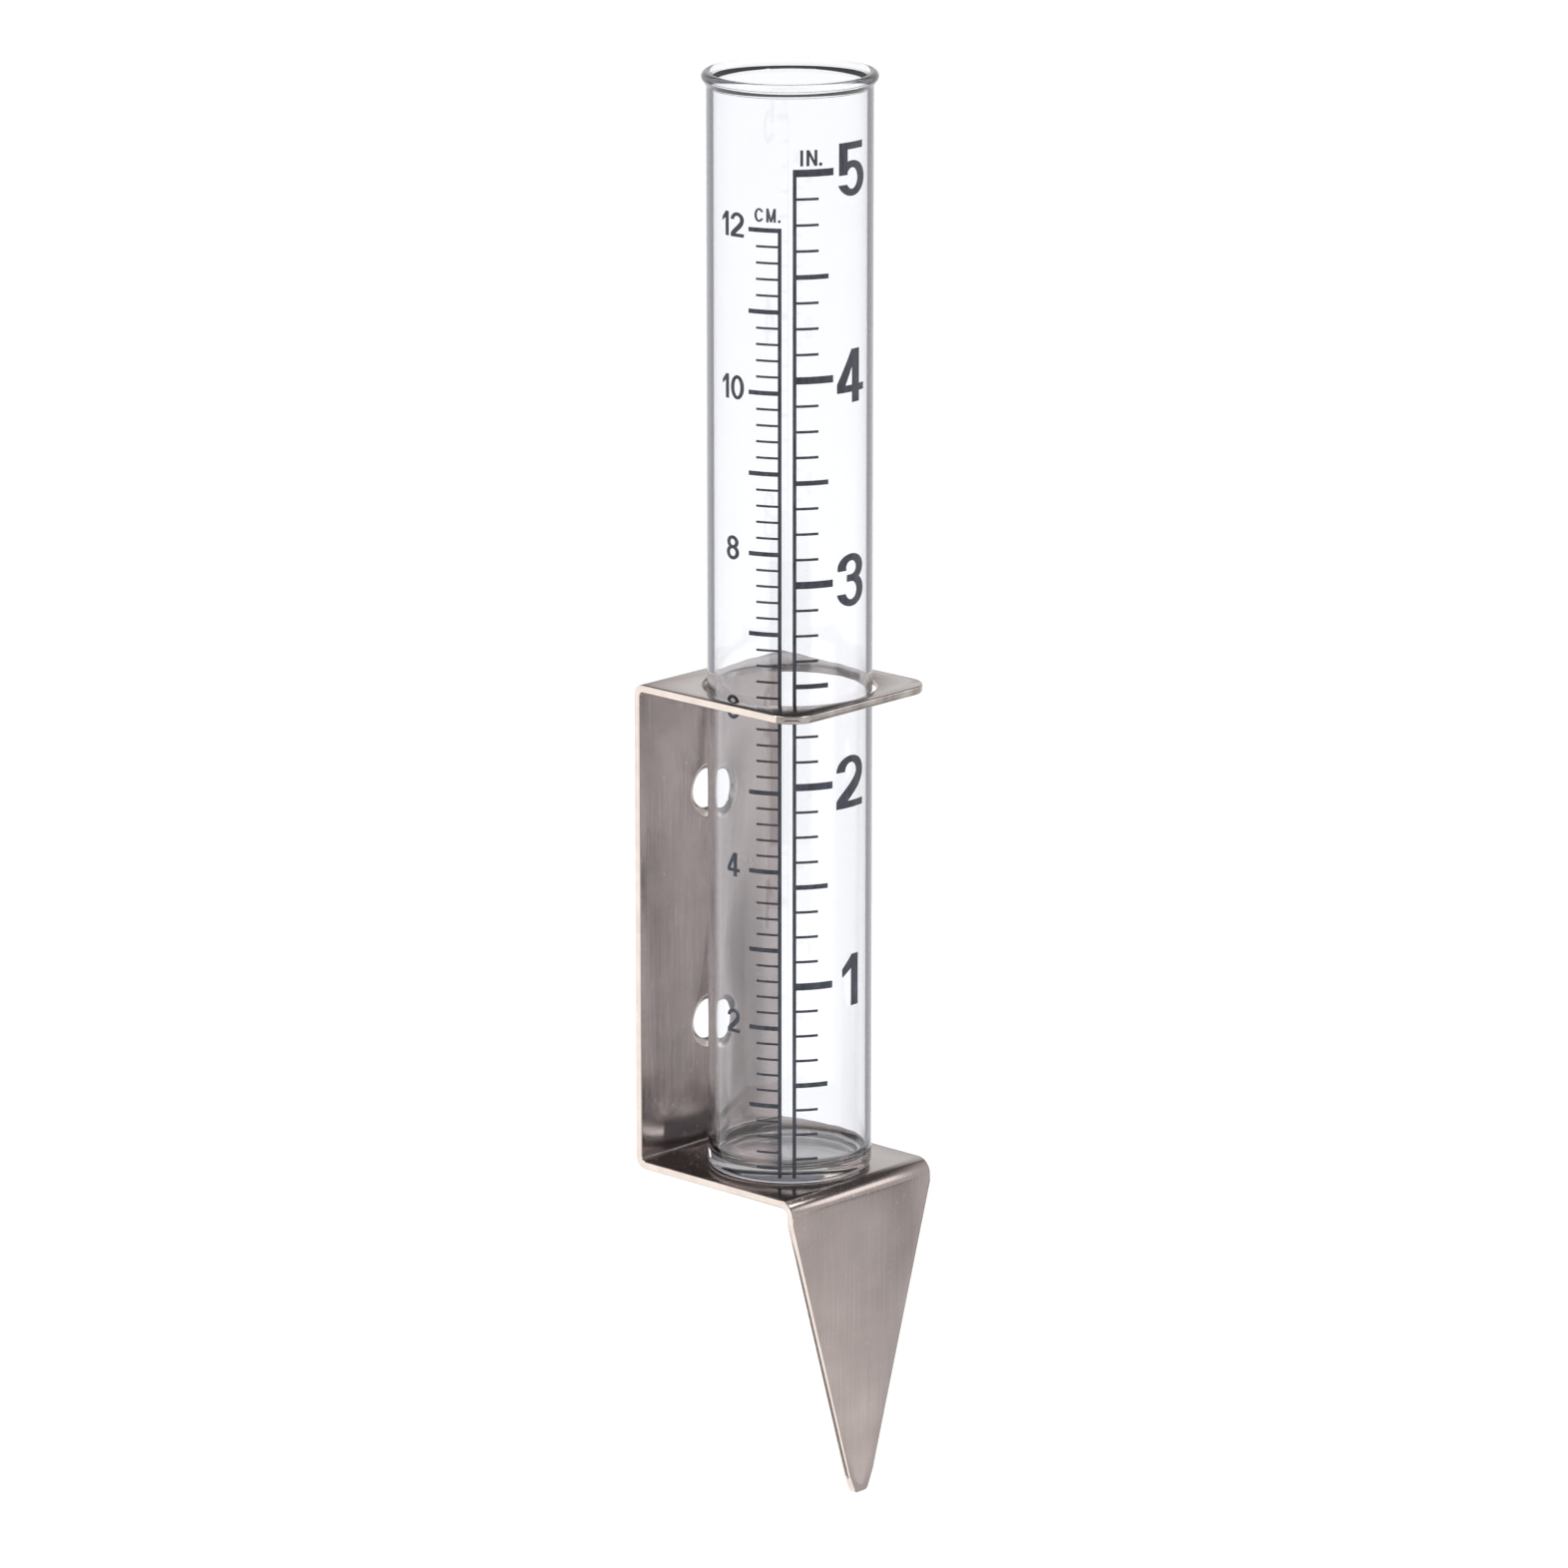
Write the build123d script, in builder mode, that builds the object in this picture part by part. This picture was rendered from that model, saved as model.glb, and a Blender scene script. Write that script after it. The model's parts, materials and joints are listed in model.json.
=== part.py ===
from build123d import *
import math
import os

# A manual rain gauge: a folded steel bracket with a glass measuring tube standing in it.
# Millimetres. The origin is midway between the two screw holes, on the plate's back face.
# The wall is at +Y, the bracket faces -Y, and +Z is up.

# ---- bracket: one strip of stainless sheet, folded three times ----
sheet = 1.0
strip_width = 25.4
tab_reach = 27.0
tab_corner = 3.5
shelf_reach = 26.8
tab_top = 30.75
shelf_top = -30.75
tight_bend = 0.5
stake_bend = 1.0
ring_radius = 10.8

# ---- bracket: screw holes through the plate ----
screw_spacing = 30.0
screw_hole_radius = 2.5
countersink_radius = 3.5
countersink_angle = 118

# ---- bracket: pointed stake below the shelf ----
stake_drop = 40.8
taper_drop = 2.9
tip_half_width = 2.2
tip_drop = 38.3
tip_round = 1.6

# ---- glass tube ----
tube_axis_y = -14.5
tube_height = 138.0
tube_radius = 10.2
wall = 0.8
floor = 1.5
heel_radius = 0.7
floor_round = 1.6
lip_radius = 0.7
lip_neck = 1.9

# ---- printed scales ----
ink = 0.06
print_azimuth = -49.0
scale_zero = 0.2
spine_offset = 0.9
spine_width = 0.45
spine_foot = 0.9
inch = 25.4
inch_count = 5
inch_parts = 8
centimetre = 10.0
centimetre_count = 12
centimetre_parts = 5

# Tick lengths from the middle of the spine, and tick thicknesses.
inch_tick = (4.9, 0.9)
half_inch_tick = (4.25, 0.6)
eighth_tick = (2.95, 0.32)
centimetre_tick = (3.95, 0.55)
fifth_tick = (2.95, 0.28)

# Glyph sizes: width, height, upright stroke, level stroke.
inch_digit = (4.6, 6.6, 1.3, 0.87)
centimetre_digit = (2.0, 3.0, 0.52, 0.42)
inch_letter = (1.35, 1.95, 0.36, 0.3)
centimetre_letter = (1.2, 1.7, 0.3, 0.26)
inch_digit_arc = 8.7
centimetre_digit_arc = -7.3
centimetre_digit_rise = 0.35
digit_gap = 0.35
flag_reach = 1.15
inch_label_gap = 0.4
centimetre_label_gap = 0.7
glyph_depth = 1.0

inner_radius = tube_radius - wall
lip_outer = inner_radius + 2 * lip_radius
tube_foot = Plane(origin=(0, tube_axis_y, shelf_top))
print_angle = print_azimuth - 90
os.makedirs("parts", exist_ok=True)


# ---------------------------------------------------------------- glyphs
def bowl(width, height, stem, bar, middle=0):
    """An elliptical ring: the round part of a digit, centred `middle` above the origin."""
    with BuildSketch(mode=Mode.PRIVATE) as ring:
        with Locations((0, middle)):
            Ellipse(width / 2, height / 2)
            Ellipse(width / 2 - stem, height / 2 - bar, mode=Mode.SUBTRACT)
    return ring.sketch


def block(left, bottom, right, top, mode=Mode.ADD):
    """An upright rectangle between two corners."""
    with Locations(((left + right) / 2, (bottom + top) / 2)):
        Rectangle(right - left, top - bottom, mode=mode)


def draw_zero(width, height, stem, bar):
    with BuildSketch() as glyph:
        add(bowl(width, height, stem, bar))
    return glyph.sketch


def draw_one(width, height, stem, bar):
    right = stem * 1.1
    left = right - stem
    flag = left - flag_reach * stem
    with BuildSketch() as glyph:
        block(left, -height / 2, right, height / 2)
        with BuildLine():
            Polyline((right, height / 2), (left, height * 0.48), (flag, height * 0.24), (flag, height * 0.08),
                     (left, height * 0.24), (right, height * 0.24), close=True)
        make_face()
    return glyph.sketch


def draw_two(width, height, stem, bar):
    side = width / 2
    foot = -height / 2
    shoulder = height * 0.2
    inner = -width * 0.12
    with BuildSketch() as glyph:
        add(bowl(width, height * 0.6, stem, bar, shoulder))
        block(-side, foot, side, shoulder, Mode.SUBTRACT)
        with BuildLine():
            Bezier((side - stem, shoulder), (side - stem, height * 0.03), (-width * 0.4, -height * 0.2),
                   (-side, -height * 0.36))
            Polyline((-side, -height * 0.36), (-side, foot), (inner, foot), (inner, foot + bar))
            Bezier((inner, foot + bar), (width * 0.1, -height * 0.22), (side, -height * 0.08),
                   (side, shoulder))
            Line((side, shoulder), (side - stem, shoulder))
        make_face()
        block(-side, foot, side, foot + bar)
    return glyph.sketch


def draw_three(width, height, stem, bar):
    side = width / 2
    waist = height * 0.04
    upper = height / 2 - waist + bar / 2
    lower = height / 2 + waist + bar / 2
    with BuildSketch() as glyph:
        add(bowl(width * 0.95, upper, stem, bar, height / 2 - upper / 2))
        add(bowl(width, lower, stem, bar, lower / 2 - height / 2))
        block(-side, -height * 0.25, 0, height * 0.19, Mode.SUBTRACT)
        block(-width * 0.16, waist - bar / 2, 0, waist + bar / 2)
    return glyph.sketch


def draw_four(width, height, stem, bar):
    side = width / 2
    right = width * 0.3
    left = right - stem
    rest = -height * 0.3
    with BuildSketch() as glyph:
        with BuildLine():
            Polyline((right, height / 2), (left - width * 0.02, height / 2), (-side, -height * 0.13),
                     (-side, rest), (left, rest), (left, -height / 2), (right, -height / 2), (right, rest),
                     (side, rest), (side, rest + bar), (right, rest + bar), close=True)
        make_face()
        with BuildLine():
            Polyline((left, height * 0.19), (left, rest + bar), (stem * 0.95 - side, rest + bar),
                     close=True)
        make_face(mode=Mode.SUBTRACT)
    return glyph.sketch


def draw_five(width, height, stem, bar):
    side = width / 2
    left = -width * 0.45
    bowl_height = height * 0.66
    with BuildSketch() as glyph:
        add(bowl(width, bowl_height, stem, bar, (bowl_height - height) / 2))
        block(-side, -height * 0.28, left + stem, height * 0.2, Mode.SUBTRACT)
        block(left, -height * 0.1, left + stem, height / 2)
        block(left, height / 2 - bar, width * 0.42, height / 2)
    return glyph.sketch


def draw_six(width, height, stem, bar):
    side = width / 2
    shoulder = height * 0.19
    with BuildSketch() as glyph:
        add(bowl(width, height * 0.62, stem, bar, shoulder))
        block(-side, -height / 2, side, shoulder, Mode.SUBTRACT)
        block(-side, -shoulder, -side + stem, shoulder)
        add(bowl(width, height * 0.62, stem, bar, -shoulder))
    return glyph.sketch


def draw_eight(width, height, stem, bar):
    waist = height * 0.03
    upper = height / 2 - waist + bar / 2
    lower = height / 2 + waist + bar / 2
    with BuildSketch() as glyph:
        add(bowl(width * 0.92, upper, stem, bar, height / 2 - upper / 2))
        add(bowl(width, lower, stem, bar, lower / 2 - height / 2))
    return glyph.sketch


def draw_i(width, height, stem, bar):
    with BuildSketch() as glyph:
        Rectangle(stem, height)
    return glyph.sketch


def draw_n(width, height, stem, bar):
    side = width / 2
    with BuildSketch() as glyph:
        block(-side, -height / 2, -side + stem, height / 2)
        block(side - stem, -height / 2, side, height / 2)
        with BuildLine():
            Polyline((-side, height / 2), (-side + stem, height / 2), (side, -height / 2),
                     (side - stem, -height / 2), close=True)
        make_face()
    return glyph.sketch


def draw_c(width, height, stem, bar):
    with BuildSketch() as glyph:
        add(bowl(width, height, stem, bar))
        block(width * 0.15, -height * 0.22, width / 2, height * 0.22, Mode.SUBTRACT)
    return glyph.sketch


def draw_m(width, height, stem, bar):
    side = width / 2
    with BuildSketch() as glyph:
        block(-side, -height / 2, -side + stem, height / 2)
        block(side - stem, -height / 2, side, height / 2)
        with BuildLine():
            Polyline((-side, height / 2), (-side + stem, height / 2), (0, -height * 0.2),
                     (side - stem, height / 2), (side, height / 2), (stem / 2, -height * 0.48),
                     (-stem / 2, -height * 0.48), close=True)
        make_face()
    return glyph.sketch


def draw_stop(width, height, stem, bar):
    with BuildSketch() as glyph:
        with Locations((0, (stem - height) / 2)):
            Circle(stem * 0.6)
    return glyph.sketch


# ---------------------------------------------------------------- places on the tube
def print_plane(arc, height):
    """The plane that faces out of the glass, `arc` along it from the print's middle."""
    turn = math.radians(print_angle) + arc / tube_radius
    outward = Vector(math.cos(turn), math.sin(turn), 0)
    axis_point = Vector(0, tube_axis_y, shelf_top + scale_zero + height)
    start = axis_point + outward * (tube_radius - glyph_depth / 2)
    return Plane(origin=start, x_dir=(-outward.Y, outward.X, 0), z_dir=outward)


def arc_band(start, end, bottom, top):
    """A band of ink on the glass, between two arc lengths and two heights above the scale's zero."""
    from_angle = print_angle + math.degrees(start / tube_radius)
    sweep = math.degrees((end - start) / tube_radius)
    with BuildSketch(tube_foot.offset(scale_zero + bottom)) as band:
        with BuildLine():
            inside = CenterArc((0, 0), tube_radius, from_angle, sweep)
            outside = CenterArc((0, 0), tube_radius + ink, from_angle, sweep)
            Line(inside @ 0, outside @ 0)
            Line(inside @ 1, outside @ 1)
        make_face()
    extrude(band.sketch, amount=top - bottom)


def tick(side, level, size):
    """One tick from the middle of its spine outwards. `side` is 1 to the right and -1 to the left."""
    length, thickness = size
    ends = sorted((side * spine_offset, side * (spine_offset + length)))
    arc_band(ends[0], ends[1], level - thickness / 2, level + thickness / 2)


def spine(side, top):
    middle = side * spine_offset
    arc_band(middle - spine_width / 2, middle + spine_width / 2, spine_foot - scale_zero, top)


def wrap_glyphs(places):
    """Stand each glyph on its plane and keep only the skin of it that lies on the glass."""
    for glyph, arc, height in places:
        with BuildSketch(print_plane(arc, height)) as face:
            add(glyph)
        extrude(face.sketch, amount=glyph_depth)
    with BuildSketch(tube_foot) as skin:
        Circle(tube_radius + ink)
        Circle(tube_radius, mode=Mode.SUBTRACT)
    extrude(skin.sketch, amount=tube_height, mode=Mode.INTERSECT)


# ---------------------------------------------------------------- bracket
with BuildPart() as bracket:
    with BuildSketch(Plane.YZ):
        with BuildLine():
            back = FilletPolyline(
                (-tab_reach, tab_top),
                (0, tab_top),
                (0, shelf_top - sheet),
                (-shelf_reach + sheet, shelf_top - sheet),
                (-shelf_reach + sheet, shelf_top - stake_drop),
                radius=[tight_bend + sheet, tight_bend + sheet, stake_bend],
            )
            front = FilletPolyline(
                (-tab_reach, tab_top - sheet),
                (-sheet, tab_top - sheet),
                (-sheet, shelf_top),
                (-shelf_reach, shelf_top),
                (-shelf_reach, shelf_top - stake_drop),
                radius=[tight_bend, tight_bend, stake_bend + sheet],
            )
            Line(back @ 0, front @ 0)
            Line(back @ 1, front @ 1)
        make_face()
    extrude(amount=strip_width / 2, both=True)

    # The stake's two sides taper from just under its bend to a blunt, rounded tip.
    with BuildSketch(Plane.XZ.offset(shelf_reach - 2 * sheet)):
        with Locations((0, shelf_top - taper_drop)):
            Rectangle(2 * strip_width, stake_drop, align=(Align.CENTER, Align.MAX))
        with BuildLine():
            Polyline(
                (-strip_width / 2, shelf_top - taper_drop),
                (-tip_half_width, shelf_top - tip_drop),
                (-tip_half_width * 0.5, shelf_top - stake_drop),
                (tip_half_width * 0.5, shelf_top - stake_drop),
                (tip_half_width, shelf_top - tip_drop),
                (strip_width / 2, shelf_top - taper_drop),
                close=True,
            )
        make_face(mode=Mode.SUBTRACT)
    extrude(amount=3 * sheet, mode=Mode.SUBTRACT)
    tip_edges = bracket.edges().filter_by(Axis.Y).filter_by_position(
        Axis.Z, shelf_top - stake_drop - 1, shelf_top - tip_drop + 1)
    fillet(tip_edges, radius=tip_round / 2)

    # The tab: rounded front corners and the ring that holds the tube upright.
    tab_edges = bracket.edges().filter_by(Axis.Z).group_by(Axis.Y)[0].filter_by_position(
        Axis.Z, tab_top - sheet, tab_top)
    fillet(tab_edges, radius=tab_corner)
    with BuildSketch(Plane.XY.offset(tab_top)):
        with Locations((0, tube_axis_y)):
            Circle(ring_radius)
    extrude(amount=-2 * sheet, mode=Mode.SUBTRACT)

    # Two countersunk screw holes, sunk from the plate's front face.
    with Locations(Plane.XZ.offset(sheet)):
        with GridLocations(0, screw_spacing, 1, 2):
            CounterSinkHole(screw_hole_radius, countersink_radius, depth=2 * sheet,
                            counter_sink_angle=countersink_angle)
bracket.part.label = "bracket"
export_step(bracket.part, "parts/bracket.step")

# ---------------------------------------------------------------- glass tube
with BuildPart() as glass_tube:
    section = Plane(origin=tube_foot.origin, x_dir=(1, 0, 0), z_dir=(0, -1, 0))
    with BuildSketch(section):
        with BuildLine():
            Line((0, 0), (tube_radius - heel_radius, 0))
            CenterArc((tube_radius - heel_radius, heel_radius), heel_radius, -90, 90)
            Polyline((tube_radius, heel_radius), (tube_radius, tube_height - lip_neck),
                     (lip_outer, tube_height - lip_radius))
            CenterArc((inner_radius + lip_radius, tube_height - lip_radius), lip_radius, 0, 180)
            Line((inner_radius, tube_height - lip_radius), (inner_radius, floor + floor_round))
            CenterArc((inner_radius - floor_round, floor + floor_round), floor_round, 0, -90)
            Polyline((inner_radius - floor_round, floor), (0, floor), (0, 0))
        make_face()
    revolve(axis=Axis(tube_foot.origin, (0, 0, 1)))
glass_tube.part.label = "glass_tube"
export_step(glass_tube.part, "parts/glass_tube.step")

# ---------------------------------------------------------------- scale lines
with BuildPart() as inch_scale_lines:
    spine(1, inch_count * inch + inch_tick[1] / 2)
    for step in range(1, inch_count * inch_parts + 1):
        if step % inch_parts == 0:
            mark = inch_tick
        elif step % inch_parts == inch_parts // 2:
            mark = half_inch_tick
        else:
            mark = eighth_tick
        tick(1, step * inch / inch_parts, mark)
inch_scale_lines.part.label = "inch_scale_lines"
export_step(inch_scale_lines.part, "parts/inch_scale_lines.step")

with BuildPart() as cm_scale_lines:
    spine(-1, centimetre_count * centimetre + centimetre_tick[1] / 2)
    for step in range(1, centimetre_count * centimetre_parts + 1):
        whole = step % centimetre_parts == 0
        mark = centimetre_tick if whole else fifth_tick
        tick(-1, step * centimetre / centimetre_parts, mark)
cm_scale_lines.part.label = "cm_scale_lines"
export_step(cm_scale_lines.part, "parts/cm_scale_lines.step")

# ---------------------------------------------------------------- numerals
draw_inch = [draw_one, draw_two, draw_three, draw_four, draw_five]
inch_places = [
    (draw(*inch_digit), inch_digit_arc, (number + 1) * inch) for number, draw in enumerate(draw_inch)
]
with BuildPart() as inch_scale_numerals:
    wrap_glyphs(inch_places)
inch_scale_numerals.part.label = "inch_scale_numerals"
export_step(inch_scale_numerals.part, "parts/inch_scale_numerals.step")

digit_width = centimetre_digit[0]
one_width = 2 * flag_reach * centimetre_digit[2]
centimetre_places = []
for number, draw in ((2, draw_two), (4, draw_four), (6, draw_six), (8, draw_eight)):
    level = number * centimetre + centimetre_digit_rise
    centimetre_places.append((draw(*centimetre_digit), centimetre_digit_arc, level))
for number, draw in ((10, draw_zero), (12, draw_two)):
    level = number * centimetre + centimetre_digit_rise
    unit_arc = centimetre_digit_arc + (digit_gap + one_width) / 2
    ten_arc = centimetre_digit_arc - (digit_gap + digit_width) / 2
    centimetre_places.append((draw_one(*centimetre_digit), ten_arc, level))
    centimetre_places.append((draw(*centimetre_digit), unit_arc, level))
with BuildPart() as cm_scale_numerals:
    wrap_glyphs(centimetre_places)
cm_scale_numerals.part.label = "cm_scale_numerals"
export_step(cm_scale_numerals.part, "parts/cm_scale_numerals.step")

# ---------------------------------------------------------------- unit labels
inch_label_level = inch_count * inch + inch_tick[1] / 2 + inch_label_gap + inch_letter[1] / 2
inch_label = ((draw_i, 1.75), (draw_n, 3.0), (draw_stop, 4.1))
with BuildPart() as inch_unit_label:
    wrap_glyphs([(draw(*inch_letter), arc, inch_label_level) for draw, arc in inch_label])
inch_unit_label.part.label = "inch_unit_label"
export_step(inch_unit_label.part, "parts/inch_unit_label.step")

cm_label_level = (
    centimetre_count * centimetre + centimetre_tick[1] / 2 + centimetre_label_gap + centimetre_letter[1] / 2
)
cm_label = ((draw_c, -3.45), (draw_m, -1.95), (draw_stop, -0.95))
with BuildPart() as cm_unit_label:
    wrap_glyphs([(draw(*centimetre_letter), arc, cm_label_level) for draw, arc in cm_label])
cm_unit_label.part.label = "cm_unit_label"
export_step(cm_unit_label.part, "parts/cm_unit_label.step")
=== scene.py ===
import json
import math
import random

import bmesh
import bpy
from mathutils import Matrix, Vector


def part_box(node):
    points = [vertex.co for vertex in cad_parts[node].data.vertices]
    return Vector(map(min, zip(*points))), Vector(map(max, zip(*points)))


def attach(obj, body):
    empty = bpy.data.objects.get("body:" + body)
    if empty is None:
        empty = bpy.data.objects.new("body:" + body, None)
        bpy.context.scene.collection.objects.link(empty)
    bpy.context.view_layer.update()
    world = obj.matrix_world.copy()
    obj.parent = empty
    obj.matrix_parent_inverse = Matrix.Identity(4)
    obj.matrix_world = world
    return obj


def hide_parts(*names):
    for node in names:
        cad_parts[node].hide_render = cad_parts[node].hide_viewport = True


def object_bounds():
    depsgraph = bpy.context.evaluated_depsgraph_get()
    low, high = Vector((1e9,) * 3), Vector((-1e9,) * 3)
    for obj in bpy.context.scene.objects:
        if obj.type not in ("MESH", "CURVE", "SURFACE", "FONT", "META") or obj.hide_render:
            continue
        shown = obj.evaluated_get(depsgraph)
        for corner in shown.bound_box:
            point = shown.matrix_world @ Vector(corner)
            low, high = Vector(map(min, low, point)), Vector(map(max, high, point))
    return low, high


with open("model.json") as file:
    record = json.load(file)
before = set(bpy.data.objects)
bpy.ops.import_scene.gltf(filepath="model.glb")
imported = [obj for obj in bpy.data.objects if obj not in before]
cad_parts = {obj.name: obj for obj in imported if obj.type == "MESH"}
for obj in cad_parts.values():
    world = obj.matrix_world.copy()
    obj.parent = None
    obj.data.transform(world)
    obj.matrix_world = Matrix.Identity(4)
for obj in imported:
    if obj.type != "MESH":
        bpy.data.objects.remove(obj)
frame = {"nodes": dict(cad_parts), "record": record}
cad_low, cad_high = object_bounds()
nodes = frame["nodes"]
random.seed(7)

MM = 0.001


# ------------------------------------------------------------------ small helpers
class Nodes:
    """Builds a shader tree: each call adds one node and links what it is given."""

    def __init__(self, tree):
        self.tree = tree
        tree.nodes.clear()

    def add(self, kind, settings=None, **inputs):
        node = self.tree.nodes.new(kind)
        for name, value in (settings or {}).items():
            setattr(node, name, value)
        for name, value in inputs.items():
            self.put(node, name.replace("_", " "), value)
        return node

    def put(self, node, name, value):
        socket = node.inputs[int(name[1:])] if name[0] == "i" and name[1:].isdigit() else node.inputs[name]
        if isinstance(value, bpy.types.NodeSocket):
            self.tree.links.new(value, socket)
        else:
            socket.default_value = value

    def math(self, operation, a, b=0.0, clamp=False):
        node = self.add("ShaderNodeMath", {"operation": operation, "use_clamp": clamp}, i0=a, i1=b)
        return node.outputs[0]

    def ramp(self, factor, stops):
        node = self.add("ShaderNodeValToRGB", Fac=factor)
        elements = node.color_ramp.elements
        while len(elements) < len(stops):
            elements.new(0.5)
        for element, (place, colour) in zip(elements, stops):
            element.position = place
            element.color = (*colour, 1.0) if len(colour) == 3 else (colour[0],) * 3 + (1.0,)
        return node.outputs["Color"]

    def stretch(self, source, scale):
        node = self.add("ShaderNodeMapping", Vector=source)
        node.inputs["Scale"].default_value = scale
        return node.outputs["Vector"]

    def noise(self, source, scale, detail=2.0, roughness=0.5):
        node = self.add("ShaderNodeTexNoise", Vector=source, Scale=scale, Detail=detail, Roughness=roughness)
        return node.outputs["Fac"]

    def mix(self, factor, a, b, blend="MIX"):
        node = self.add("ShaderNodeMix", {"data_type": "RGBA", "blend_type": blend})
        self.put(node, "i0", factor)
        self.put(node, "i6", a)
        self.put(node, "i7", b)
        return node.outputs[2]

    def bump(self, height, distance, strength=1.0, normal=None):
        node = self.add("ShaderNodeBump", Height=height, Distance=distance, Strength=strength)
        if normal is not None:
            self.put(node, "Normal", normal)
        return node.outputs["Normal"]


def new_material(name):
    material = bpy.data.materials.new(name)
    material.use_nodes = True
    return material, Nodes(material.node_tree)


def finish_material(tree, **inputs):
    shader = tree.add("ShaderNodeBsdfPrincipled")
    for name, value in inputs.items():
        tree.put(shader, name.replace("_", " "), value)
    output = tree.add("ShaderNodeOutputMaterial")
    tree.tree.links.new(shader.outputs[0], output.inputs["Surface"])


def new_piece(name, mesh, body, replaced, materials):
    piece = bpy.data.objects.new(name, mesh)
    bpy.context.scene.collection.objects.link(piece)
    for material in materials:
        mesh.materials.append(material)
    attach(piece, body)
    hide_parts(*replaced)
    return piece


# ------------------------------------------------------------------ sizes, from the frame
strip_low, strip_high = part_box("bracket")
tube_low, tube_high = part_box("glass_tube")
mounts = {mount["name"]: mount for mount in frame["record"]["mounts"]}

sheet = 1.0 * MM
tight_bend = 0.5 * MM
stake_bend = 1.0 * MM
tube_axis = (tube_low + tube_high) / 2
lip_outer = (tube_high.x - tube_low.x) / 2
bore = mounts["tube_mouth"]["dims"]["r_mm"] * MM
tube_radius = 10.2 * MM
shelf_top = tube_low.z
tab_top = strip_high.z
stake_face = strip_low.y + 0.2 * MM


# ------------------------------------------------------------------ steel
def strip_place(point):
    """How far along the folded strip a point lies, from the tab's front edge, in metres."""
    y, z = point.y, point.z
    middle = tight_bend + sheet / 2
    quarter = middle * math.pi / 2
    centre_in = tight_bend + sheet
    tab_length = -strip_low.y - centre_in
    plate_length = tab_top - shelf_top + sheet - 2 * centre_in
    if z > tab_top - centre_in and y < -centre_in:
        return y - strip_low.y
    if z > tab_top - centre_in:
        angle = math.atan2(y + centre_in, z - (tab_top - centre_in))
        return tab_length + middle * angle
    plate_bottom = shelf_top - sheet + centre_in
    if z > plate_bottom:
        return tab_length + quarter + (tab_top - centre_in - z)
    start = tab_length + quarter + plate_length
    if y > -centre_in:
        return start + middle * math.atan2(plate_bottom - z, y + centre_in)
    start += quarter
    bend_middle = stake_bend + sheet / 2
    turn_y = stake_face + sheet + stake_bend
    turn_z = shelf_top - sheet - stake_bend
    shelf_length = -centre_in - turn_y
    if y > turn_y:
        return start + (-centre_in - y)
    start += shelf_length
    if z > turn_z:
        return start + bend_middle * math.atan2(turn_y - y, z - turn_z)
    return start + bend_middle * math.pi / 2 + (turn_z - z)


def steel_material():
    """Satin stainless sheet with its rolling grain along the strip, faint clouding and fine pits."""
    material, tree = new_material("satin_steel")
    uv = tree.add("ShaderNodeUVMap", {"uv_map": "strip"}).outputs["UV"]
    place = tree.add("ShaderNodeTexCoord").outputs["Object"]
    grain = tree.noise(tree.stretch(uv, (60.0, 5200.0, 1.0)), 1.0, 3.0, 0.6)
    broad_grain = tree.noise(tree.stretch(uv, (14.0, 900.0, 1.0)), 1.0, 2.0, 0.5)
    clouds = tree.noise(place, 95.0, 3.0, 0.55)
    patches = tree.noise(tree.stretch(uv, (160.0, 60.0, 1.0)), 1.0, 2.0, 0.5)
    specks = tree.noise(place, 2900.0, 1.0, 0.5)
    pits = tree.ramp(specks, [(0.0, (0.0,)), (0.735, (0.0,)), (0.79, (1.0,))])
    tone = tree.ramp(clouds, [(0.3, (0.335, 0.285, 0.27)), (0.7, (0.40, 0.345, 0.33))])
    streak = tree.ramp(grain, [(0.3, (0.84,)), (0.7, (1.03,))])
    tone = tree.mix(1.0, tone, streak, "MULTIPLY")
    tone = tree.mix(1.0, tone, tree.ramp(patches, [(0.35, (0.93,)), (0.65, (1.03,))]), "MULTIPLY")
    tone = tree.mix(pits, tone, (0.50, 0.46, 0.44, 1.0))
    rough = tree.math("MULTIPLY_ADD", grain, 0.09)
    rough.node.inputs[2].default_value = 0.125
    rough = tree.math("ADD", rough, tree.math("MULTIPLY", patches, 0.04))
    rough = tree.math("ADD", rough, tree.math("MULTIPLY", pits, 0.3), True)
    fine = tree.bump(grain, 1.0e-6)
    soft = tree.bump(broad_grain, 2.0e-6, 1.0, fine)
    dented = tree.bump(pits, -3e-6, 1.0, soft)
    tangent = tree.add("ShaderNodeTangent", {"direction_type": "UV_MAP", "uv_map": "strip"}).outputs[0]
    finish_material(tree, Base_Color=tone, Metallic=1.0, Roughness=rough, Anisotropic=0.45,
                    Normal=dented, Tangent=tangent)
    return material


def edge_material(name, dark, light):
    """A cut edge of the strip: smoother and warmer than the face, with faint shear marks."""
    material, tree = new_material(name)
    place = tree.add("ShaderNodeTexCoord").outputs["Object"]
    lines = tree.noise(place, 2200.0, 3.0, 0.6)
    blotch = tree.noise(place, 420.0, 2.0, 0.5)
    tone = tree.ramp(blotch, [(0.3, dark), (0.7, light)])
    rough = tree.math("MULTIPLY_ADD", lines, 0.14)
    rough.node.inputs[2].default_value = 0.10
    relief = tree.bump(lines, 1.2e-6)
    finish_material(tree, Base_Color=tone, Metallic=1.0, Roughness=rough, Normal=relief)
    return material


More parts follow.
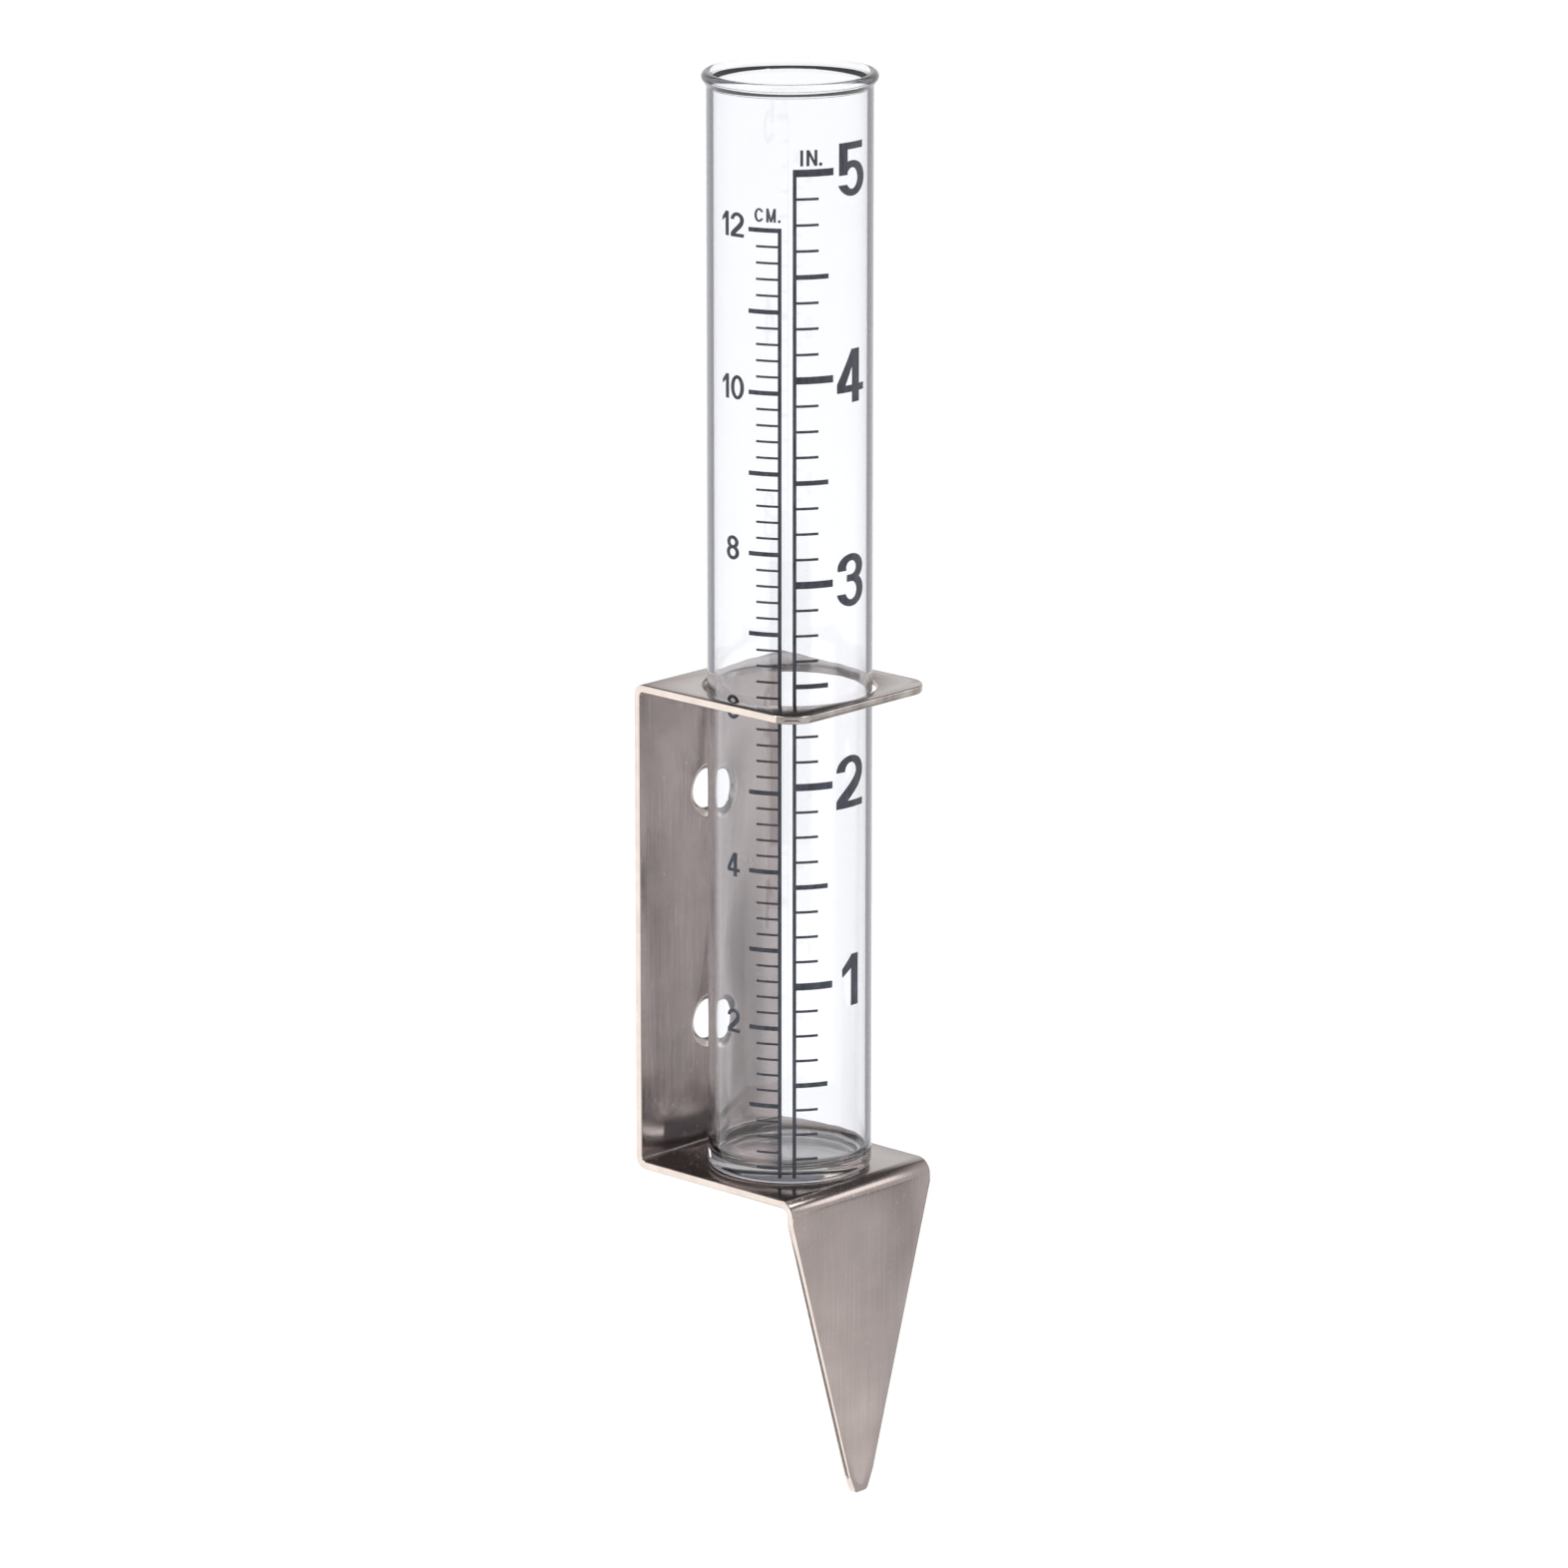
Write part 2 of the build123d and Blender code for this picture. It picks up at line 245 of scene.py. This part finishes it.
def edge_kind(face):
    """0 on the strip's broad faces, 1 on its long sides, 2 on the ring, the screw holes and the ends."""
    normal = face.normal
    middle = face.calc_center_median()
    half = (strip_high.x - strip_low.x) / 2
    on_tab = middle.z > tab_top - sheet * 0.99 and middle.y < -tight_bend - sheet
    if on_tab and abs(normal.z) < 0.5:
        return 1 if abs(middle.x) > half - 0.02 * MM else 2
    if middle.z < shelf_top - 3 * sheet and abs(normal.y) < 0.5:
        return 1
    on_plate = shelf_top + 2 * sheet < middle.z < tab_top - 2 * sheet - tight_bend
    if on_plate and abs(middle.x) < half / 2 and abs(normal.y) < 0.95:
        return 2
    return 1 if abs(middle.x) > half - 0.02 * MM else 0


def build_bracket():
    mesh = nodes["bracket"].data.copy()
    mesh.name = "folded_bracket"
    mesh.materials.clear()
    shape = bmesh.new()
    shape.from_mesh(mesh)
    bmesh.ops.remove_doubles(shape, verts=shape.verts, dist=1e-7)
    bmesh.ops.dissolve_limit(shape, angle_limit=math.radians(0.6), verts=shape.verts, edges=shape.edges,
                             delimit={"NORMAL"})
    bmesh.ops.recalc_face_normals(shape, faces=shape.faces)
    uv = shape.loops.layers.uv.new("strip")
    for face in shape.faces:
        face.smooth = True
        face.material_index = edge_kind(face)
        for loop in face.loops:
            loop[uv].uv = (strip_place(loop.vert.co), loop.vert.co.x)
    shape.to_mesh(mesh)
    shape.free()
    # The two edge materials are a lighter and a darker copy of one cut-edge metal: the much lighter copy on
    # the long sides is a painted highlight, and the ring, holes and ends get the darker one.
    side = edge_material("side_edge_painted_highlight", (0.78, 0.68, 0.62), (0.88, 0.78, 0.71))
    end = edge_material("end_edge", (0.27, 0.24, 0.225), (0.44, 0.40, 0.375))
    piece = new_piece("folded_bracket", mesh, "bracket", ["bracket"], [steel_material(), side, end])
    bevel = piece.modifiers.new("broken_edges", "BEVEL")
    bevel.width = 0.17 * MM
    bevel.segments = 3
    bevel.limit_method = "ANGLE"
    bevel.angle_limit = math.radians(28)
    bevel.harden_normals = True
    bevel.miter_outer = "MITER_ARC"


# ------------------------------------------------------------------ glass
def glass_material():
    """Clear drawn glass: faint streaks along the tube and a very slight lavender tint."""
    material, tree = new_material("clear_glass")
    place = tree.add("ShaderNodeTexCoord").outputs["Object"]
    streaks = tree.noise(tree.stretch(place, (420.0, 420.0, 2.5)), 1.0, 2.0, 0.5)
    smears = tree.noise(place, 120.0, 3.0, 0.6)
    tint = tree.ramp(smears, [(0.2, (0.968, 0.974, 1.0)), (0.8, (0.985, 0.989, 1.0))])
    relief = tree.bump(streaks, 1.2e-6)
    rough = tree.ramp(smears, [(0.55, (0.0,)), (0.9, (0.02,))])
    shader = tree.add("ShaderNodeBsdfPrincipled")
    for name, value in (("Base Color", tint), ("Roughness", rough), ("IOR", 1.5),
                        ("Transmission Weight", 1.0), ("Normal", relief)):
        tree.put(shader, name, value)
    clear = tree.add("ShaderNodeBsdfTransparent")
    clear.inputs["Color"].default_value = (0.97, 0.97, 0.98, 1.0)
    lamp = tree.add("ShaderNodeLightPath").outputs["Is Shadow Ray"]
    both = tree.add("ShaderNodeMixShader", i0=lamp, i1=shader.outputs[0], i2=clear.outputs[0])
    output = tree.add("ShaderNodeOutputMaterial")
    tree.tree.links.new(both.outputs[0], output.inputs["Surface"])
    return material


def arc(centre, radius, start, end, steps):
    """Points (r, z) round a centre, between two angles in degrees."""
    angles = [math.radians(start + (end - start) * k / steps) for k in range(steps + 1)]
    return [(centre[0] + radius * math.cos(a), centre[1] + radius * math.sin(a)) for a in angles]


def straight(radius, start, end, rows):
    """A straight wall's points, with a short band at each end that keeps the bends' shading off it."""
    band = math.copysign(0.06 * MM, end - start)
    first, last = start + band, end - band
    middle = [(radius, first + (last - first) * k / rows) for k in range(rows + 1)]
    return [(radius, start)] + middle + [(radius, end)]


def tube_outline():
    """The tube's section as (radius, height) points from the middle of the foot round to the inner floor."""
    foot, top = tube_low.z, tube_high.z
    skin = 0.01 * MM
    outer = tube_radius - skin
    heel = 0.7 * MM
    bead = (lip_outer - bore) / 2 - skin / 2
    floor = 1.5 * MM
    inner_round = 1.6 * MM
    push_up = 0.12 * MM
    centre = bore + bead
    points = [(outer * out, foot + push_up * up) for out, up in ((0.0, 1.0), (0.35, 0.86), (0.65, 0.45))]
    points += arc((outer - heel, foot + heel), heel, -90, 0, 10)
    neck = top - 1.9 * MM
    rows = 40
    points += straight(outer, foot + heel, neck, rows)[1:]
    rise = top - bead - neck
    for k in range(1, 8):
        t = k / 8
        swell = t * t * (3 - 2 * t)
        points.append((outer + (centre + bead - outer) * swell, neck + rise * t))
    points += arc((centre, top - bead), bead, 0, 180, 18)
    floor_top = foot + floor
    inner_start = top - bead - 0.4 * MM
    points += straight(bore, inner_start, floor_top + inner_round, rows)
    points += arc((bore - inner_round, floor_top + inner_round), inner_round, 0, -90, 8)[1:]
    points += [(bore * 0.5, floor_top - 0.05 * MM), (0.0, floor_top - 0.08 * MM)]
    return points


def build_tube():
    """The glass tube: its section turned round the axis, with drawn glass's small unevenness."""
    steps = 192
    inner_share = 0.58
    outline = tube_outline()
    top = tube_high.z
    waves = [(random.uniform(0, 2 * math.pi), count, size * MM) for count, size in
             ((2, 0.05), (3, 0.035), (5, 0.02))]
    streaks = [(random.uniform(0, 2 * math.pi), count, size * MM) for count, size in
               ((3, 0.012), (7, 0.008), (13, 0.005), (23, 0.003))]
    shape = bmesh.new()
    rings = []
    for index, (radius, height) in enumerate(outline):
        if radius == 0.0:
            rings.append([shape.verts.new((tube_axis.x, tube_axis.y, height))])
            continue
        inside = index > len(outline) * inner_share
        near_lip = max(0.0, 1 - (top - height) / (4 * MM))
        ring = []
        for step in range(steps):
            angle = 2 * math.pi * step / steps
            shift = sum(size * math.cos(count * angle + phase) for phase, count, size in streaks)
            sag = sum(size * (math.cos(count * angle + phase) - 1) for phase, count, size in waves) / 2
            r = radius + (shift if inside and radius > bore * 0.9 else 0.0)
            ring.append(shape.verts.new((tube_axis.x + r * math.cos(angle), tube_axis.y + r * math.sin(angle),
                                         height + sag * near_lip)))
        rings.append(ring)
    for first, second in zip(rings, rings[1:]):
        for step in range(steps):
            after = (step + 1) % steps
            if len(first) == 1:
                shape.faces.new((first[0], second[after], second[step]))
            elif len(second) == 1:
                shape.faces.new((first[step], first[after], second[0]))
            else:
                shape.faces.new((first[step], first[after], second[after], second[step]))
    bmesh.ops.recalc_face_normals(shape, faces=shape.faces)
    for face in shape.faces:
        face.smooth = True
    mesh = bpy.data.meshes.new("measuring_tube")
    shape.to_mesh(mesh)
    shape.free()
    new_piece("measuring_tube", mesh, "tube", ["glass_tube"], [glass_material()])


# ------------------------------------------------------------------ print
def ink_material(name, dark, light):
    """Screen-printed ink: nearly black, blotchy where it lies thin, with a soft gloss."""
    material, tree = new_material(name)
    place = tree.add("ShaderNodeTexCoord").outputs["Object"]
    blotch = tree.noise(tree.stretch(place, (1500.0, 1500.0, 420.0)), 1.0, 3.0, 0.62)
    weave = tree.noise(place, 4200.0, 1.0, 0.5)
    tone = tree.ramp(blotch, [(0.32, dark), (0.75, light)])
    rough = tree.math("MULTIPLY_ADD", weave, 0.2)
    rough.node.inputs[2].default_value = 0.34
    relief = tree.bump(weave, 5e-6)
    finish_material(tree, Base_Color=tone, Roughness=rough, Normal=relief)
    return material


def print_on_glass():
    dark = ink_material("ink", (0.014, 0.016, 0.025), (0.055, 0.065, 0.090))
    thin = ink_material("ink_fine", (0.05, 0.052, 0.066), (0.10, 0.105, 0.125))
    for name, material in (("inch_scale_lines", dark), ("cm_scale_lines", dark),
                           ("inch_scale_numerals", dark), ("cm_scale_numerals", dark),
                           ("inch_unit_label", dark), ("cm_unit_label", thin)):
        for slot in nodes[name].material_slots:
            slot.material = material


# ------------------------------------------------------------------ studio
CAMERA_AZIMUTH = -47.0
CAMERA_ELEVATION = 14.8
CAMERA_DISTANCE = 1.0
floor_level = cad_low.z
WHITE = (1.0, 1.0, 1.0, 1.0)
FLAG = (0.85, 0.85, 1.0, 1.0)
WALL_GREY = 0.2
BOTH_WALLS = 4             # glass surfaces that a ray crosses when it passes right through the tube
MIRRORED_AZIMUTH = 47.0    # what the plate and the stake reflect towards the camera
# the floor card's glow at distances from the gauge in metres
FLOOR_CARD = ((0.0, 1.45), (0.04, 1.22), (0.08, 1.05), (0.138, 0.98), (0.153, 0.24), (0.175, 0.28),
              (0.20, 0.46), (0.244, 0.90), (0.29, 1.05), (0.33, 1.18), (0.45, 1.15), (0.6, 1.05))


def direction(azimuth, elevation):
    """The unit vector towards an azimuth, measured from -Y towards +X, and an elevation, in degrees."""
    a, e = math.radians(azimuth), math.radians(elevation)
    return Vector((math.sin(a) * math.cos(e), -math.cos(a) * math.cos(e), math.sin(e)))


def build_world():
    """Pale below, at the horizon and overhead, with a dark band part-way up the sky."""
    world = bpy.data.worlds.new("studio")
    bpy.context.scene.world = world
    world.use_nodes = True
    tree = Nodes(world.node_tree)
    place = tree.add("ShaderNodeTexCoord").outputs["Generated"]
    height = tree.add("ShaderNodeSeparateXYZ", Vector=place).outputs["Z"]
    stops = ((0.0, 1.0), (0.42, 1.0), (0.57, 0.12), (0.78, 0.12), (0.92, 0.75))
    shade = tree.ramp(height, [(place_up, (glow,)) for place_up, glow in stops])
    background = tree.add("ShaderNodeBackground", Color=shade, Strength=1.0)
    output = tree.add("ShaderNodeOutputWorld")
    tree.tree.links.new(background.outputs[0], output.inputs["Surface"])


def studio_card(name, shape, strength, seen_by, tint=WHITE):
    """A card that the camera doesn't see directly.

    Only some rays see it. "gloss" is reflections, also ones seen through the tube. "glass" is rays that
    leave glass. "wall" is rays that leave glass after a reflection, mostly one inside the tube's wall.
    """
    mesh = bpy.data.meshes.new(name)
    shape.to_mesh(mesh)
    shape.free()
    panel = bpy.data.objects.new(name, mesh)
    bpy.context.scene.collection.objects.link(panel)
    material, tree = new_material(name)
    if callable(strength):
        strength = strength(tree)
    surface = tree.add("ShaderNodeEmission", Color=tint, Strength=strength).outputs[0]
    if seen_by != "glass":
        path = tree.add("ShaderNodeLightPath").outputs
        behind_tube = tree.math("GREATER_THAN", path["Transmission Depth"], BOTH_WALLS - 0.5)
        bounced = tree.math("MINIMUM", path["Glossy Depth"], 1.0)
        if seen_by == "wall":
            seen = tree.math("MULTIPLY", bounced, tree.math("SUBTRACT", 1.0, behind_tube))
        else:
            seen = tree.math("MAXIMUM", path["Is Glossy Ray"], tree.math("MULTIPLY", behind_tube, bounced))
        clear = tree.add("ShaderNodeBsdfTransparent").outputs[0]
        surface = tree.add("ShaderNodeMixShader", i0=seen, i1=clear, i2=surface).outputs[0]
    output = tree.add("ShaderNodeOutputMaterial")
    tree.tree.links.new(surface, output.inputs["Surface"])
    mesh.materials.append(material)
    panel.visible_camera = False
    panel.visible_diffuse = False
    panel.visible_shadow = False
    panel.visible_glossy = seen_by == "gloss"
    return panel


def card(name, centre, size, facing, strength, seen_by):
    shape = bmesh.new()
    corners = ((-1, -1), (1, -1), (1, 1), (-1, 1))
    shape.faces.new([shape.verts.new((x * size[0] / 2, y * size[1] / 2, 0)) for x, y in corners])
    panel = studio_card(name, shape, strength, seen_by)
    panel.location = centre
    panel.rotation_euler = facing.to_track_quat("Z", "Y").to_euler()


def sector_card(name, azimuth, spread, near, far, strength, seen_by, centre=None, tint=WHITE):
    """A curved strip between two (radius, height) edges round a point, the tube's axis if none is given."""
    shape = bmesh.new()
    steps = max(6, int(spread / 6))
    rows = []
    for radius, height in (near, far):
        row = []
        for step in range(steps + 1):
            a = math.radians(azimuth - spread / 2 + spread * step / steps)
            row.append(shape.verts.new((math.sin(a) * radius, -math.cos(a) * radius, height)))
        rows.append(row)
    for step in range(steps):
        shape.faces.new((rows[0][step], rows[0][step + 1], rows[1][step + 1], rows[1][step]))
    panel = studio_card(name, shape, strength, seen_by, tint)
    x, y = centre or (tube_axis.x, tube_axis.y)
    panel.location = (x, y, floor_level + 0.5 * MM)


def soft_light(name, place, target, size, power):
    data = bpy.data.lights.new(name, "AREA")
    data.shape = "RECTANGLE"
    data.size, data.size_y = size
    data.energy = power
    lamp = bpy.data.objects.new(name, data)
    bpy.context.scene.collection.objects.link(lamp)
    lamp.location = place
    lamp.rotation_euler = (place - target).to_track_quat("Z", "Y").to_euler()


def build_floor():
    shape = bmesh.new()
    bmesh.ops.create_circle(shape, cap_ends=True, segments=96, radius=6.0)
    mesh = bpy.data.meshes.new("floor")
    shape.to_mesh(mesh)
    shape.free()
    floor = bpy.data.objects.new("floor", mesh)
    bpy.context.scene.collection.objects.link(floor)
    floor.location.z = floor_level - 0.05 * MM
    material, tree = new_material("pale_floor")
    place = tree.add("ShaderNodeTexCoord").outputs["Object"]
    mottle = tree.noise(place, 6.0, 3.0, 0.5)
    tone = tree.ramp(mottle, [(0.3, (0.19, 0.19, 0.19)), (0.7, (0.21, 0.21, 0.21))])
    finish_material(tree, Base_Color=tone, Roughness=0.9, Emission_Color=(1.0, 1.0, 1.0, 1.0),
                    Emission_Strength=0.88)
    mesh.materials.append(material)


def floor_card_strength(tree):
    """The floor card's glow by its distance from the gauge, which the plate and the stake mirror."""
    place = tree.add("ShaderNodeTexCoord").outputs["Object"]
    radius = tree.add("ShaderNodeVectorMath", {"operation": "LENGTH"}, i0=place).outputs["Value"]
    reach, brightest = FLOOR_CARD[-1][0], FLOOR_CARD[0][1]
    stops = [(distance / reach, (glow / brightest,)) for distance, glow in FLOOR_CARD]
    return tree.math("MULTIPLY", tree.ramp(tree.math("DIVIDE", radius, reach), stops), brightest)


def build_studio():
    middle = (cad_low + cad_high) / 2
    build_world()
    build_floor()
    for side in (-1, 1):
        toward = direction(CAMERA_AZIMUTH + side * 75, 55)
        name = "left" if side < 0 else "right"
        soft_light(f"soft_{name}", middle + toward * 1.1, middle, (0.5, 0.5), 4.0)
    sector_card("wall_flag", 0, 360, (0.03, 0), (5.9, 0), WALL_GREY, "wall", tint=FLAG)
    sector_card("wall_flag_horizon", 0, 360, (5.9, 0), (5.9, 2.5), WALL_GREY, "wall", tint=FLAG)
    sector_card("camera_side_flag", CAMERA_AZIMUTH, 62, (0.28, 0), (0.52, 0), 0.03, "gloss")
    rim = tube_high.z - floor_level
    sector_card("rim_flag", 0, 360, (0.5, rim + 0.08), (0.5, rim + 0.9), 0.05, "glass")
    toward = direction(MIRRORED_AZIMUTH, 15)
    card("front_panel", middle + toward * 0.7, (0.34, 0.24), -toward, 2.8, "gloss")
    # A dark card at the stake's foot, seen only in reflections: the stake's side edges mirror it as a painted
    # contact shadow.
    sector_card("stake_contact_shadow_card", -137, 26, (0.002, 0), (0.06, 0), 0.2, "gloss", (-1.5 * MM, stake_face))
    sector_card("floor_card", MIRRORED_AZIMUTH, 34, (0.001, 0), (0.6, 0), floor_card_strength, "gloss",
                (0.0, stake_face))


def build_camera():
    middle = (cad_low + cad_high) / 2
    data = bpy.data.cameras.new("camera")
    data.sensor_width = 36.0
    seen = 0.194
    data.lens = data.sensor_width * CAMERA_DISTANCE / seen
    data.clip_start = 0.05
    camera = bpy.data.objects.new("camera", data)
    bpy.context.scene.collection.objects.link(camera)
    back = direction(CAMERA_AZIMUTH, CAMERA_ELEVATION)
    camera.location = middle + back * CAMERA_DISTANCE
    camera.rotation_euler = back.to_track_quat("Z", "Y").to_euler()
    bpy.context.scene.camera = camera


bpy.context.scene.view_settings.view_transform = "Standard"
build_bracket()
build_tube()
print_on_glass()
build_studio()
build_camera()
